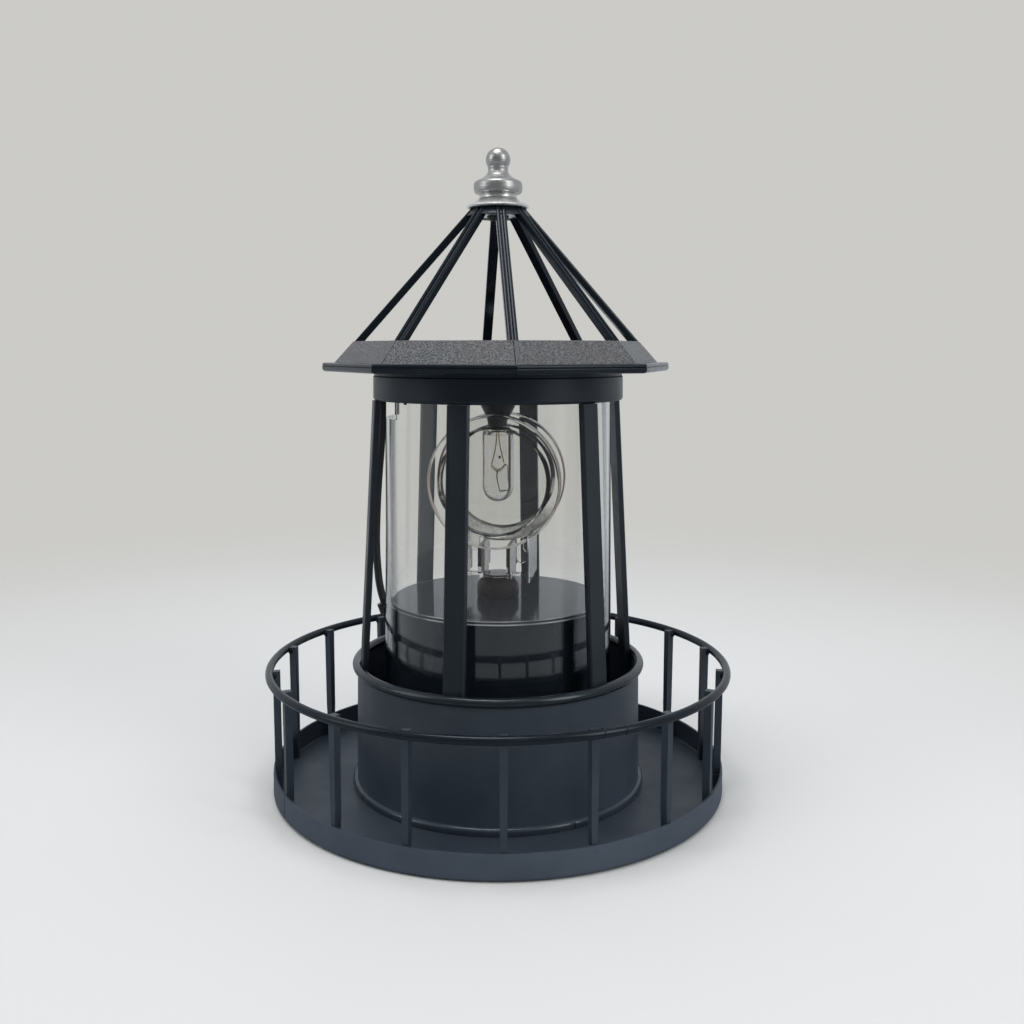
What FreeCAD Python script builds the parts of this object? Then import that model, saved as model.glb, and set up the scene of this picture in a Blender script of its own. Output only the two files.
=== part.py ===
import FreeCAD, Part
import os
from math import sin, cos, tan, pi, radians, sqrt, acos, atan2, degrees, hypot

V = FreeCAD.Vector
os.makedirs("parts", exist_ok=True)

# ---------------------------------------------------------------- driving dimensions (mm)
# Origin: centre of the underside, +Z up. Bearings are measured from the front (-Y) towards +X.
TRAY_R = 72.35          # outer radius of the gallery tray
TRAY_T = 0.7            # sheet thickness of the tray
TRAY_H = 7.6            # height of the tray wall
TRAY_HOLE_R = 34.8      # service hole in the tray floor

RAIL_R = 73.75          # centreline radius of the hand rail
RAIL_TUBE_R = 1.25
RAIL_Z = 37.95
BAR_BEARINGS = [1.2, 21.2, 41.8, 62.0, 79.5, 100.4, 120.1, 140.0, 160.0,
                180.0, 199.5, 218.5, 238.9, 258.2, 281.0, 298.4, 320.2, 339.8]
BAR_TOP_Z = 38.6
BAR_DEPTH = 2.3         # radial
BAR_W_TOP = 2.4
BAR_W_BOTTOM = 1.8
BAR_GRIND_Z0 = 5.6      # the ground taper of a bar's foot
BAR_GRIND_Z1 = 12.5

DRUM_R = 45.8           # outer radius of the tower drum
DRUM_T = 0.7
DRUM_TOP_Z = 38.7       # centre height of the curled bead
BEAD_R = 1.5
BEAD_CENTRE_R = 45.95

POST_BEARINGS = [-17.0, 43.0, 103.0, 163.5, 219.5, 283.0]
POST_W = 6.7
POST_T = 1.9
POST_TOP_Z = 124.0
POST_BOTTOM_Z = 31.0
POST_R_TOP = 40.1       # mid-thickness radius at the top
POST_LEAN = 0.0445      # outward mm per mm of drop

COLLAR_R = 40.85
COLLAR_T = 0.8
COLLAR_Z0 = 124.05
COLLAR_Z1 = 133.25
COLLAR_LIP_R = 38.3     # inner radius of the lip that carries the cap

ROOF_BEARING = 5.35     # bearing of the front corner of the octagon
EAVE_Z0 = 133.3
EAVE_Z1 = 136.2
EAVE_CORNER_R = 57.4
RIB_W = 3.3
RIB_D = 2.4
HIP_SLOPE = 0.868       # radius lost per mm of height
HIP_R_REF = 46.3        # outer corner radius of the ribs at HIP_Z_REF
HIP_Z_REF = 143.7
BAND_TOP_Z = 143.1
APEX_Z = 186.7          # top of the apex plate, where the finial stands
APEX_SKIRT_Z = 184.0
TOTAL_H = 206.9

TUBE_R = 36.9
TUBE_T = 1.2
TUBE_Z0 = 2.7
TUBE_TOP_Z = 127.0
NOTCH_Z = 118.4         # lower edge of the rim notch beside the cable
NOTCH_BEARING = -84.0
NOTCH_HALF = 24.0       # half width of the notch, degrees

CAP_R = 39.6
CAP_Z0 = 124.85
CAP_Z1 = 130.5
SOLAR_SIDE = 46.0

HOUSING_R = 35.3
HOUSING_T = 1.6
HOUSING_TOP_Z = 59.4
HOUSING_FLANGE_R = 37.5

LENS_Z = 98.0           # height of the optic's centre
LENS_RING_R = 21.6
LENS_R = 17.0
OPTIC_BEARING = -8.0    # the optic's rest bearing
HUB_R = 6.9

BULB_R = 5.1
BULB_BOTTOM_Z = 90.5
SOCKET_R = 5.6
SOCKET_BOTTOM_Z = 115.3

GEAR_MODULE = 0.6
PINION_TEETH = 12
WHEEL_TEETH = 40
IDLER_DIR = 20.0        # direction of the idler axis from the centre, degrees from +X
MOTOR_DIR = 120.0       # direction of the motor axis from the idler axis

CABLE_R = 1.25
CABLE_BEARING = -93.0


# ---------------------------------------------------------------- helpers
def pol(r, bearing, z=0.0):
    a = radians(bearing)
    return V(r * sin(a), -r * cos(a), z)


def cyl(r, z0, z1, x=0.0, y=0.0):
    return Part.makeCylinder(r, z1 - z0, V(x, y, z0), V(0, 0, 1))


def box(x0, x1, y0, y1, z0, z1):
    return Part.makeBox(x1 - x0, y1 - y0, z1 - z0, V(x0, y0, z0))


def revolve(profile):
    """Solid of revolution about Z from closed (r, z) points."""
    pts = [V(r, 0, z) for r, z in profile]
    wire = Part.makePolygon(pts + [pts[0]])
    return Part.Face(wire).revolve(V(0, 0, 0), V(0, 0, 1), 360)


def ring(r0, r1, z0, z1):
    return cyl(r1, z0, z1).cut(cyl(r0, z0 - 1, z1 + 1))


def arc_pts(cx, cz, r, a0, a1, n):
    return [(cx + r * cos(radians(a0 + (a1 - a0) * i / n)), cz + r * sin(radians(a0 + (a1 - a0) * i / n)))
            for i in range(n + 1)]


def octa_ring(profile):
    """Closed eight-sided ring whose section is the closed (corner radius, z) polygon."""
    rows = []
    for r, z in profile:
        rows.append([pol(r, ROOF_BEARING + 45 * k, z) for k in range(8)])
    faces = []
    n = len(profile)
    for i in range(n):
        a, b = rows[i], rows[(i + 1) % n]
        for k in range(8):
            k2 = (k + 1) % 8
            faces.append(Part.Face(Part.makePolygon([a[k], a[k2], b[k2], b[k], a[k]])))
    s = Part.Solid(Part.makeShell(faces))
    if s.Volume < 0:
        s.reverse()
    return s


def octa_solid(levels):
    """Stack of octagons given as (corner radius, z), closed at both ends."""
    rows = [[pol(r, ROOF_BEARING + 45 * k, z) for k in range(8)] for r, z in levels]
    faces = [Part.Face(Part.makePolygon(rows[0] + [rows[0][0]])),
             Part.Face(Part.makePolygon(rows[-1] + [rows[-1][0]]))]
    for a, b in zip(rows[:-1], rows[1:]):
        for k in range(8):
            k2 = (k + 1) % 8
            faces.append(Part.Face(Part.makePolygon([a[k], a[k2], b[k2], b[k], a[k]])))
    s = Part.Solid(Part.makeShell(faces))
    if s.Volume < 0:
        s.reverse()
    return s


def prism(points, vec):
    """Extrude a closed list of 3-D points along vec."""
    return Part.Face(Part.makePolygon(points + [points[0]])).extrude(vec)


def place(shape, bearing):
    """Turn a shape drawn facing the front (-Y) to the given bearing."""
    s = shape.copy()
    s.rotate(V(0, 0, 0), V(0, 0, 1), bearing)
    return s


def gear(teeth, z0, z1, x, y, tooth_dir, bore=0.0):
    """Involute spur gear, 25 degree pressure angle, one tooth centred on tooth_dir (degrees from +X)."""
    m = GEAR_MODULE
    rp = m * teeth / 2.0
    ap = radians(25)
    rb = rp * cos(ap)
    ra = rp + 0.85 * m
    rf = rp - 1.2 * m
    inv = lambda a: tan(a) - a
    half = pi / (2 * teeth) - 0.045 / rp
    r_start = max(rb, rf)
    flank = []
    for i in range(5):
        r = r_start + (ra - r_start) * i / 4.0
        ar = acos(min(1.0, rb / r))
        flank.append((r, half + inv(ap) - inv(ar)))
    pts = []
    for k in range(teeth):
        c = radians(tooth_dir) + 2 * pi * k / teeth
        root = flank[0][1]
        if rf < r_start - 1e-6:
            pts.append((rf, c - root))
        for r, h in flank:
            pts.append((r, c - h))
        for r, h in reversed(flank):
            pts.append((r, c + h))
        if rf < r_start - 1e-6:
            pts.append((rf, c + root))
    p3 = [V(x + r * cos(a), y + r * sin(a), z0) for r, a in pts]
    g = prism(p3, V(0, 0, z1 - z0))
    if bore:
        g = g.cut(cyl(bore, z0 - 1, z1 + 1, x, y))
    return g


def rounded_path(points, f=0.45):
    """Wire of straight runs joined by tangent arcs; prints each arc radius."""
    edges = []
    last = points[0]
    radii = []
    for i in range(1, len(points) - 1):
        a, b, c = points[i - 1], points[i], points[i + 1]
        u = a.sub(b)
        w = c.sub(b)
        lu, lw = u.Length, w.Length
        u.normalize()
        w.normalize()
        turn = pi - acos(max(-1, min(1, u.dot(w))))
        r = f * min(lu, lw) / tan(turn / 2)
        d = r * tan(turn / 2)
        p = b.add(V(u).multiply(d))
        q = b.add(V(w).multiply(d))
        bis = u.add(w)
        bis.normalize()
        mid = b.add(V(bis).multiply(r / cos(turn / 2) - r))
        edges.append(Part.LineSegment(last, p).toShape())
        edges.append(Part.Arc(p, mid, q).toShape())
        radii.append(round(r, 1))
        last = q
    edges.append(Part.LineSegment(last, points[-1]).toShape())
    print("cable arc radii:", radii)
    return Part.Wire(edges)


parts = {}

# ---------------------------------------------------------------- gallery tray
R, T, H = TRAY_R, TRAY_T, TRAY_H
prof = [(TRAY_HOLE_R, 0), (R - 1.2, 0)]
prof += arc_pts(R - 1.2, 1.2, 1.2, -90, 0, 6)[1:]
prof += [(R, H), (R - T, H), (R - T, 1.3)]
prof += arc_pts(R - T - 0.6, T + 0.6, 0.6, 0, -90, 4)[1:]
prof += [(TRAY_HOLE_R, T)]
parts["tray_pan"] = revolve(prof)

# ---------------------------------------------------------------- railing
rail = Part.makeTorus(RAIL_R, RAIL_TUBE_R, V(0, 0, RAIL_Z), V(0, 0, 1))
parts["railing_ring"] = rail

bars = []
for th in BAR_BEARINGS:
    z0, z1 = TRAY_T, BAR_TOP_Z
    y_out0 = R - T - 0.02
    y_out1 = RAIL_R - RAIL_TUBE_R + 0.15
    lower = [V(-BAR_W_BOTTOM / 2, -y_out0 + BAR_DEPTH, z0), V(BAR_W_BOTTOM / 2, -y_out0 + BAR_DEPTH, z0),
             V(BAR_W_BOTTOM / 2, -y_out0, z0), V(-BAR_W_BOTTOM / 2, -y_out0, z0)]
    upper = [V(-BAR_W_TOP / 2, -y_out1 + BAR_DEPTH, z1), V(BAR_W_TOP / 2, -y_out1 + BAR_DEPTH, z1),
             V(BAR_W_TOP / 2, -y_out1, z1), V(-BAR_W_TOP / 2, -y_out1, z1)]
    s = Part.makeLoft([Part.makePolygon(lower + [lower[0]]), Part.makePolygon(upper + [upper[0]])], True, True)
    # the last few millimetres above the tray are ground narrower from both sides
    for sx in (-1, 1):
        s = s.cut(prism([V(sx * 0.62, -R - 3, BAR_GRIND_Z0), V(sx * 1.9, -R - 3, BAR_GRIND_Z0), V(sx * 1.9, -R - 3, BAR_GRIND_Z1),
                         V(sx * 1.02, -R - 3, BAR_GRIND_Z1)], V(0, 8, 0)))
    s = place(s, th).cut(rail)
    # the foot follows the wall's inside curve
    s = s.cut(ring(R - T, R + 5, z0 - 1, H))
    s = s.cut(parts["tray_pan"])
    bars.append(max(s.Solids, key=lambda q: q.Volume))
parts["railing_bars"] = Part.makeCompound(bars)

# ---------------------------------------------------------------- tower drum
shell = ring(DRUM_R - DRUM_T, DRUM_R, TRAY_T, DRUM_TOP_Z)
bead = Part.makeTorus(BEAD_CENTRE_R, BEAD_R, V(0, 0, DRUM_TOP_Z), V(0, 0, 1))
drum = shell.fuse(bead).removeSplitter()
parts["drum_shell"] = drum

foot = revolve([(DRUM_R, TRAY_T), (DRUM_R + 1.35, TRAY_T)] + arc_pts(DRUM_R + 0.2, TRAY_T + 1.15, 1.15, 0, 90, 10) +
               [(DRUM_R, TRAY_T + 2.3)])
seams = []
for th in (-62.0, 28.5, 118.0, 208.0):
    seams.append(place(box(-0.14, 0.14, -DRUM_R - 2.2, -DRUM_R - 1.1, 0.5, 5), th))
parts["drum_foot_ring"] = foot.cut(Part.makeCompound(seams))

# ---------------------------------------------------------------- lantern posts and collar
for i, th in enumerate(POST_BEARINGS):
    def rm(z):
        return POST_R_TOP + (POST_TOP_Z - z) * POST_LEAN
    z0, z1 = POST_BOTTOM_Z, POST_TOP_Z
    h, w = POST_T / 2, POST_W / 2
    c = 0.35
    rows = []
    for z in (z0, z1):
        r = rm(z)
        rows.append([V(-w + c, -(r + h), z), V(w - c, -(r + h), z), V(w, -(r + h) + c, z), V(w, -(r - h), z),
                     V(-w, -(r - h), z), V(-w, -(r + h) + c, z)])
    s = Part.makeLoft([Part.makePolygon(q + [q[0]]) for q in rows], True, True)
    s = place(s, th).cut(drum)
    s = s.cut(ring(DRUM_R - DRUM_T, DRUM_R + 6, 0, DRUM_TOP_Z))
    s = max(s.Solids, key=lambda q: q.Volume)
    parts["lantern_post_%d" % (i + 1)] = s

prof = [(COLLAR_LIP_R, COLLAR_Z0), (COLLAR_R - 1.0, COLLAR_Z0)]
prof += arc_pts(COLLAR_R - 1.0, COLLAR_Z0 + 1.0, 1.0, -90, 0, 6)[1:]
prof += [(COLLAR_R, COLLAR_Z1 - 1.6), (COLLAR_R - 0.3, COLLAR_Z1 - 1.2), (COLLAR_R - 0.3, COLLAR_Z1),
         (COLLAR_R - COLLAR_T, COLLAR_Z1), (COLLAR_R - COLLAR_T, COLLAR_Z0 + 0.8), (COLLAR_LIP_R, COLLAR_Z0 + 0.8)]
collar = revolve(prof)
collar = collar.cut(place(box(-2.0, 2.0, -39.95, -36.0, COLLAR_Z0 - 1, COLLAR_Z0 + 2), CABLE_BEARING))
parts["lantern_collar"] = collar

# ---------------------------------------------------------------- roof
seat = octa_solid([(50.6, EAVE_Z0), (50.6, EAVE_Z0 + 1.2)]).cut(cyl(38.9, EAVE_Z0 - 1, EAVE_Z0 + 3))
seat = seat.fuse(ring(38.9, 39.7, 130.8, EAVE_Z0 + 1.0)).removeSplitter()
parts["roof_seat_ring"] = seat

E0, E1, ER = EAVE_Z0, EAVE_Z1, EAVE_CORNER_R
prof = [(50.6, E0), (ER - 1.5, E0)]
prof += arc_pts(ER - 1.35, E0 + 1.3, 1.3, -90, 0, 6)[1:]
prof += [(ER - 0.05, E0 + 1.62), (ER - 0.45, E0 + 1.78), (ER - 0.1, E0 + 1.94)]
prof += arc_pts(ER - 0.75, E1 - 0.7, 0.65, 10, 90, 5)
prof += [(53.75, E1), (53.6, E1 - 0.25), (53.4, E1 - 0.25), (53.3, E1), (50.6, E1)]
parts["roof_eave_rim"] = octa_ring(prof)


def band_r(z):
    return 52.85 - 0.887 * (z - 136.8)


BZ0, BZ1, BT = E1, BAND_TOP_Z, 1.45
prof = [(band_r(BZ0), BZ0), (band_r(BZ1 - 0.25), BZ1 - 0.25), (band_r(BZ1) - 0.2, BZ1),
        (band_r(BZ1) - BT, BZ1), (band_r(BZ0) - BT, BZ0)]
band = octa_ring(prof)
inner = octa_solid([(band_r(BZ0) - BT, BZ0), (band_r(BZ1) - BT, BZ1)])
# a fine seam runs down every hip of the band
nr, nz = cos(atan2(HIP_SLOPE, 1.0)), sin(atan2(HIP_SLOPE, 1.0))
cuts = []
for k in range(8):
    a = V(0, -(band_r(BZ0) + 0.2), BZ0 - 0.1)
    p = [V(-0.22, a.y, a.z), V(0.22, a.y, a.z), V(0, a.y + 0.62, a.z)]
    d = V(0, (0.887) * (BZ1 - BZ0 + 0.3), BZ1 - BZ0 + 0.3)
    cuts.append(place(prism(p, d), ROOF_BEARING + 45 * k))
parts["roof_band"] = band.cut(Part.makeCompound(cuts))

# rib section: two rounded ridges with a groove between them
sec = [(-1.65, -RIB_D), (1.65, -RIB_D), (1.65, -0.62), (1.52, -0.26), (1.28, -0.06), (0.95, 0.0), (0.62, -0.08),
       (0.36, -0.3), (0.2, -0.72), (-0.2, -0.72), (-0.36, -0.3), (-0.62, -0.08), (-0.95, 0.0), (-1.28, -0.06),
       (-1.52, -0.26), (-1.65, -0.62)]
ln = sqrt(1 + HIP_SLOPE ** 2)
dirv = V(0, HIP_SLOPE / ln, 1 / ln)                 # up the hip, front rib
nrm = V(0, -1 / ln, HIP_SLOPE / ln)                 # outwards
zb = 137.0
base = V(0, -(HIP_R_REF - HIP_SLOPE * (zb - HIP_Z_REF)), zb)
pts = [base.add(V(u, 0, 0)).add(V(nrm).multiply(w)) for u, w in sec]
rib0 = prism(pts, V(dirv).multiply((APEX_Z + 3 - zb) * ln))


def hip_r(z):
    return HIP_R_REF - HIP_SLOPE * (z - HIP_Z_REF)


# shallow cap that the ribs run over; a recess under it holds the washer
apex = revolve([(2.05, 185.3), (7.6, 185.3), (7.6, APEX_SKIRT_Z), (hip_r(APEX_SKIRT_Z) - 0.6, APEX_SKIRT_Z),
                (hip_r(APEX_Z) - 0.6, APEX_Z), (2.05, APEX_Z)])
top_cut = box(-60, 60, -60, 60, APEX_Z, APEX_Z + 40)
low_half = box(-70, 70, -70, 70, 100, BAND_TOP_Z)
for k in range(8):
    r_ = place(rib0, ROOF_BEARING + 45 * k).cut(top_cut).cut(apex)
    up = r_.cut(low_half)
    low = r_.common(inner).common(box(-70, 70, -70, 70, 138.6, BAND_TOP_Z))
    s = up.fuse(low).removeSplitter()
    s = max(s.Solids, key=lambda q: q.Volume)
    parts["roof_rib_%d" % (k + 1)] = s

parts["roof_apex_plate"] = apex

FZ = APEX_Z + 1.0
fin = [(0, APEX_Z), (9.5, APEX_Z), (10.05, APEX_Z + 0.15), (10.3, APEX_Z + 0.55), (10.1, APEX_Z + 1.0), (9.5, APEX_Z + 1.35),
       (8.4, FZ + 0.85), (7.4, FZ + 1.45), (6.75, FZ + 2.0), (6.3, FZ + 2.5), (6.15, FZ + 3.0), (6.2, FZ + 3.45), (6.55, FZ + 3.75), (7.25, FZ + 3.95),
       (7.7, FZ + 4.25), (7.95, FZ + 4.8), (8.05, FZ + 5.5), (8.05, FZ + 6.6), (7.95, FZ + 7.3), (7.65, FZ + 7.8),
       (7.1, FZ + 8.15), (6.1, FZ + 8.6), (5.1, FZ + 9.15), (4.2, FZ + 9.85), (3.65, FZ + 10.5), (3.35, FZ + 11.2),
       (3.28, FZ + 11.8), (3.4, FZ + 12.5)]
cz, cr = TOTAL_H - 4.08, 4.08
fin += arc_pts(0, cz, cr, -34, 90, 12)
fin[-1] = (0, TOTAL_H)
finial = revolve(fin)
finial = finial.cut(cyl(2.0, FZ - 3, FZ + 9))
parts["finial"] = finial
parts["finial_washer"] = ring(2.1, 6.4, 184.2, 185.3)
SZ = 184.2
screw = revolve([(0, SZ - 1.5), (2.6, SZ - 1.5), (3.3, SZ - 1.1), (3.6, SZ - 0.4), (3.6, SZ), (2.0, SZ), (2.0, FZ + 9.0), (0, FZ + 9.0)])
screw = screw.cut(box(-2.1, 2.1, -0.35, 0.35, SZ - 2.0, SZ - 0.6)).cut(box(-0.35, 0.35, -2.1, 2.1, SZ - 2.0, SZ - 0.6))
parts["finial_screw"] = screw

# ---------------------------------------------------------------- cable route, in the plane of its bearing
route = [(38.3, 128.0), (38.35, 113.0), (40.0, 93.0), (40.5, 74.5), (39.2, 60.8), (35.6, 51.2), (31.4, 45.6)]
pts = [pol(r, CABLE_BEARING, z) for r, z in route]
path = rounded_path(pts)
tan0 = pts[1].sub(pts[0])
circ = Part.Wire(Part.makeCircle(CABLE_R, pts[0], tan0))
cable = path.makePipeShell([circ], True, False)
length = path.Length
print("cable length %.1f  volume %.1f  section x length %.1f" % (length, cable.Volume, pi * CABLE_R ** 2 * length))
parts["power_cable"] = cable

# ---------------------------------------------------------------- clear tube
tube = ring(TUBE_R - TUBE_T, TUBE_R, TUBE_Z0, TUBE_TOP_Z)
wedge = [V(0, 0, NOTCH_Z), pol(60, NOTCH_BEARING - NOTCH_HALF, NOTCH_Z), pol(60, NOTCH_BEARING + NOTCH_HALF, NOTCH_Z)]
tube = tube.cut(prism(wedge, V(0, 0, 20)))

# grommet where the cable enters
gp = None
a, b = pts[4], pts[5]
d = b.sub(a)
d.normalize()
# point of the run where it meets the tube's outside
ra_, rb_ = route[4][0], route[5][0]
t = (ra_ - (TUBE_R + 0.15)) / (ra_ - rb_)
gp = a.add(b.sub(a).multiply(t))
grommet = Part.makeCylinder(2.5, 3.4, gp.sub(V(d).multiply(1.9)), d)
grommet = grommet.cut(tube).cut(cable)
grommet = max(grommet.Solids, key=lambda q: q.CenterOfMass.x ** 2 + q.CenterOfMass.y ** 2)
parts["cable_grommet"] = grommet
parts["clear_tube"] = tube.cut(cable)

# ---------------------------------------------------------------- cap, solar panel, socket
cap = cyl(CAP_R, CAP_Z0, CAP_Z1)
cap = cap.cut(cyl(TUBE_R, CAP_Z0 - 1, TUBE_TOP_Z)).cut(cyl(33.0, CAP_Z0 - 1, CAP_Z1 - 1.6))
hs = SOLAR_SIDE / 2
cap = cap.cut(box(-hs - 0.1, hs + 0.1, -hs - 0.1, hs + 0.1, CAP_Z1 - 0.7, CAP_Z1 + 1))
cap = cap.cut(box(-3, 3, -3, 3, CAP_Z0, CAP_Z1))
scr = []
for th in (0, 90, 180, 270):
    p = pol(29.5, th)
    s = cyl(1.9, CAP_Z1, CAP_Z1 + 0.9, p.x, p.y).fuse(cyl(0.95, CAP_Z1 - 4.6, CAP_Z1, p.x, p.y)).removeSplitter()
    s = s.cut(box(p.x - 1.5, p.x + 1.5, p.y - 0.22, p.y + 0.22, CAP_Z1 + 0.45, CAP_Z1 + 2))
    s = s.cut(box(p.x - 0.22, p.x + 0.22, p.y - 1.5, p.y + 1.5, CAP_Z1 + 0.45, CAP_Z1 + 2))
    scr.append(s)
cap = cap.cut(Part.makeCompound(scr)).cut(cable)
parts["lamp_cap"] = cap
parts["cap_screws"] = Part.makeCompound(scr)
parts["solar_panel"] = box(-hs, hs, -hs, hs, CAP_Z1 - 0.7, CAP_Z1 + 0.8)

sp = cyl(TUBE_R - TUBE_T - 0.05, 124.2, 125.7)
for th in (0, 90, 180, 270):
    p = pol(29.5, th)
    sp = sp.fuse(cyl(2.4, 125.7, CAP_Z1 - 1.6, p.x, p.y))
sp = sp.removeSplitter().cut(Part.makeCompound(scr)).cut(cyl(1.2, 120, 128))
parts["socket_plate"] = sp

sock = revolve([(0, 124.2), (SOCKET_R, 124.2), (SOCKET_R, 121.6), (SOCKET_R - 0.25, 121.2), (4.9, 120.3), (4.2, 119.0),
                (3.75, 118.0), (3.3, 117.3), (3.1, SOCKET_BOTTOM_Z), (0, SOCKET_BOTTOM_Z)])
glass_t = 0.55
bz = BULB_BOTTOM_Z
outer = [(0, bz)] + arc_pts(0, bz + BULB_R, BULB_R, -90, 0, 10)[1:] + \
    [(BULB_R, SOCKET_BOTTOM_Z - 2.6), (BULB_R - 0.35, SOCKET_BOTTOM_Z - 1.3), (BULB_R - 1.1, SOCKET_BOTTOM_Z - 0.35),
     (3.2, SOCKET_BOTTOM_Z + 0.0)]
innr = [(2.7, SOCKET_BOTTOM_Z), (2.9, SOCKET_BOTTOM_Z - 0.5), (BULB_R - 1.4, SOCKET_BOTTOM_Z - 1.1),
        (BULB_R - glass_t, SOCKET_BOTTOM_Z - 2.8)] + \
    [(max(x, 0), z) for x, z in arc_pts(0, bz + BULB_R, BULB_R - glass_t, 0, -90, 10)]
innr[-1] = (0, bz + glass_t)
parts["bulb_glass"] = revolve(outer + innr)
stemp = cyl(2.4, 113.6, SOCKET_BOTTOM_Z + 0.0)
parts["bulb_socket"] = sock.fuse(stemp).removeSplitter()


def wire_seg(p, q, r):
    d_ = q.sub(p)
    return Part.makeCylinder(r, d_.Length, p, d_)


fil = None
ws = [(V(-0.35, 0, 113.6), V(-0.55, 0, 110.0)), (V(-0.55, 0, 110.0), V(-1.95, 0, 103.2)),
      (V(0.35, 0, 113.6), V(0.5, 0, 110.0)), (V(0.5, 0, 110.0), V(1.35, 0, 103.0)),
      (V(-1.95, 0, 103.2), V(-1.7, 0, 101.6)), (V(1.35, 0, 103.0), V(1.6, 0, 101.4)),
      (V(-1.7, 0, 101.6), V(1.6, 0, 101.4)),
      (V(-0.4, 0, 101.5), V(-0.9, 0, 98.6)), (V(-0.9, 0, 98.6), V(-0.1, 0, 95.1)), (V(-0.1, 0, 95.1), V(2.5, 0, 95.0))]
for a_, b_ in ws:
    s = wire_seg(a_, b_, 0.16).fuse(Part.makeSphere(0.16, b_))
    fil = s if fil is None else fil.fuse(s)
parts["bulb_filament"] = fil.removeSplitter()

# ---------------------------------------------------------------- motor housing
HR, HT = HOUSING_R, HOUSING_T
prof = [(HR - HT, TRAY_T), (HOUSING_FLANGE_R, TRAY_T), (HOUSING_FLANGE_R, TUBE_Z0), (HR, TUBE_Z0),
        (HR, HOUSING_TOP_Z - 0.8), (HR - 0.8, HOUSING_TOP_Z), (2.07, HOUSING_TOP_Z), (2.07, HOUSING_TOP_Z - 1.8),
        (HR - HT, HOUSING_TOP_Z - 1.8)]
house = revolve(prof)
boss_dirs = (50, 170, 290)
for a in boss_dirs:
    x, y = 31.0 * cos(radians(a)), 31.0 * sin(radians(a))
    house = house.fuse(cyl(3.0, 3.4, 20.0, x, y).common(cyl(HR - 0.5, 0, 30)))
house = house.removeSplitter()
screws = []
for a in boss_dirs:
    x, y = 31.0 * cos(radians(a)), 31.0 * sin(radians(a))
    s = Part.makeCone(2.5, 1.25, 1.3, V(x, y, 1.15)).fuse(cyl(1.25, 2.45, 13.0, x, y)).removeSplitter()
    s = s.cut(box(x - 1.5, x + 1.5, y - 0.25, y + 0.25, 0.5, 1.75)).cut(box(x - 0.25, x + 0.25, y - 1.5, y + 1.5, 0.5, 1.75))
    screws.append(s)
parts["base_screws"] = Part.makeCompound(screws)
bores = Part.makeCompound([cyl(1.25, 2.0, 14.0, 31.0 * cos(radians(a)), 31.0 * sin(radians(a))) for a in boss_dirs])
parts["motor_housing"] = house.cut(bores).cut(cable)

basep = cyl(HR - HT - 0.1, 1.0, 3.4)
for a in boss_dirs:
    x, y = 31.0 * cos(radians(a)), 31.0 * sin(radians(a))
    basep = basep.cut(cyl(1.25, 0, 5, x, y)).cut(Part.makeCone(2.5, 1.25, 1.3, V(x, y, 1.15))).cut(cyl(2.5, 0.5, 1.15, x, y))
SW_Y = 16.5
basep = basep.cut(box(-4.0, 4.0, SW_Y - 1.6, SW_Y + 1.6, 0, 5))
basep = basep.cut(box(-6.0, 6.0, SW_Y - 3.6, SW_Y + 3.6, 0.5, 1.6))
# cradle for the battery: end walls and two side ribs
for x0, x1 in ((-28.6, -27.2), (27.2, 28.6)):
    basep = basep.fuse(box(x0, x1, -17.5, -7.5, 3.4, 12.0))
for y0, y1 in ((-20.9, -19.9), (-5.1, -4.1)):
    basep = basep.fuse(box(-18.0, 18.0, y0, y1, 3.4, 9.0))
# posts that carry the control board
for px, py in ((-11.5, 9.0), (11.5, 9.0), (-11.5, 24.5), (11.5, 24.5)):
    basep = basep.fuse(cyl(1.6, 3.4, 6.2, px, py))
parts["housing_base"] = basep.removeSplitter()

cell = Part.makeCylinder(7.1, 48.5, V(-24.6, -12.5, 12.4), V(1, 0, 0)).fuse(
    Part.makeCylinder(2.7, 1.3, V(23.9, -12.5, 12.4), V(1, 0, 0))).removeSplitter()
parts["battery"] = cell
parts["battery_contacts"] = Part.makeCompound([box(25.2, 27.2, -16.5, -8.5, 3.4, 15.0).cut(box(25.6, 26.8, -20, -5, 4.4, 14.0)),
                                               Part.makeCone(4.6, 2.6, 1.6, V(-26.4, -12.5, 12.4), V(1, 0, 0)).fuse(
                                                   box(-27.2, -26.4, -16.5, -8.5, 3.4, 15.0)).removeSplitter()])
# pressed-metal contact: plate with spring cone on the left, folded leaf on the right

pcb = box(-14, 14, 6.5, 27.0, 6.2, 7.4)
chip = box(-9, -3, 10, 16, 7.4, 9.0)
cap_e = cyl(2.5, 7.4, 14.0, 7.5, 21.0)
coil = cyl(3.0, 7.4, 11.0, 6.5, 11.5)
parts["control_board"] = pcb.fuse(chip).fuse(cap_e).fuse(coil).removeSplitter()
swb = box(-5.2, 5.2, SW_Y - 2.6, SW_Y + 2.6, 3.4, 6.2).cut(box(-4.0, 4.0, SW_Y - 1.6, SW_Y + 1.6, 3.0, 5.4))
parts["switch_body"] = swb
parts["switch_slider"] = box(-3.6, -0.4, SW_Y - 1.4, SW_Y + 1.4, 3.5, 5.2).fuse(
    box(-3.1, -0.9, SW_Y - 1.2, SW_Y + 1.2, 1.2, 3.5)).removeSplitter()

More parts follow.
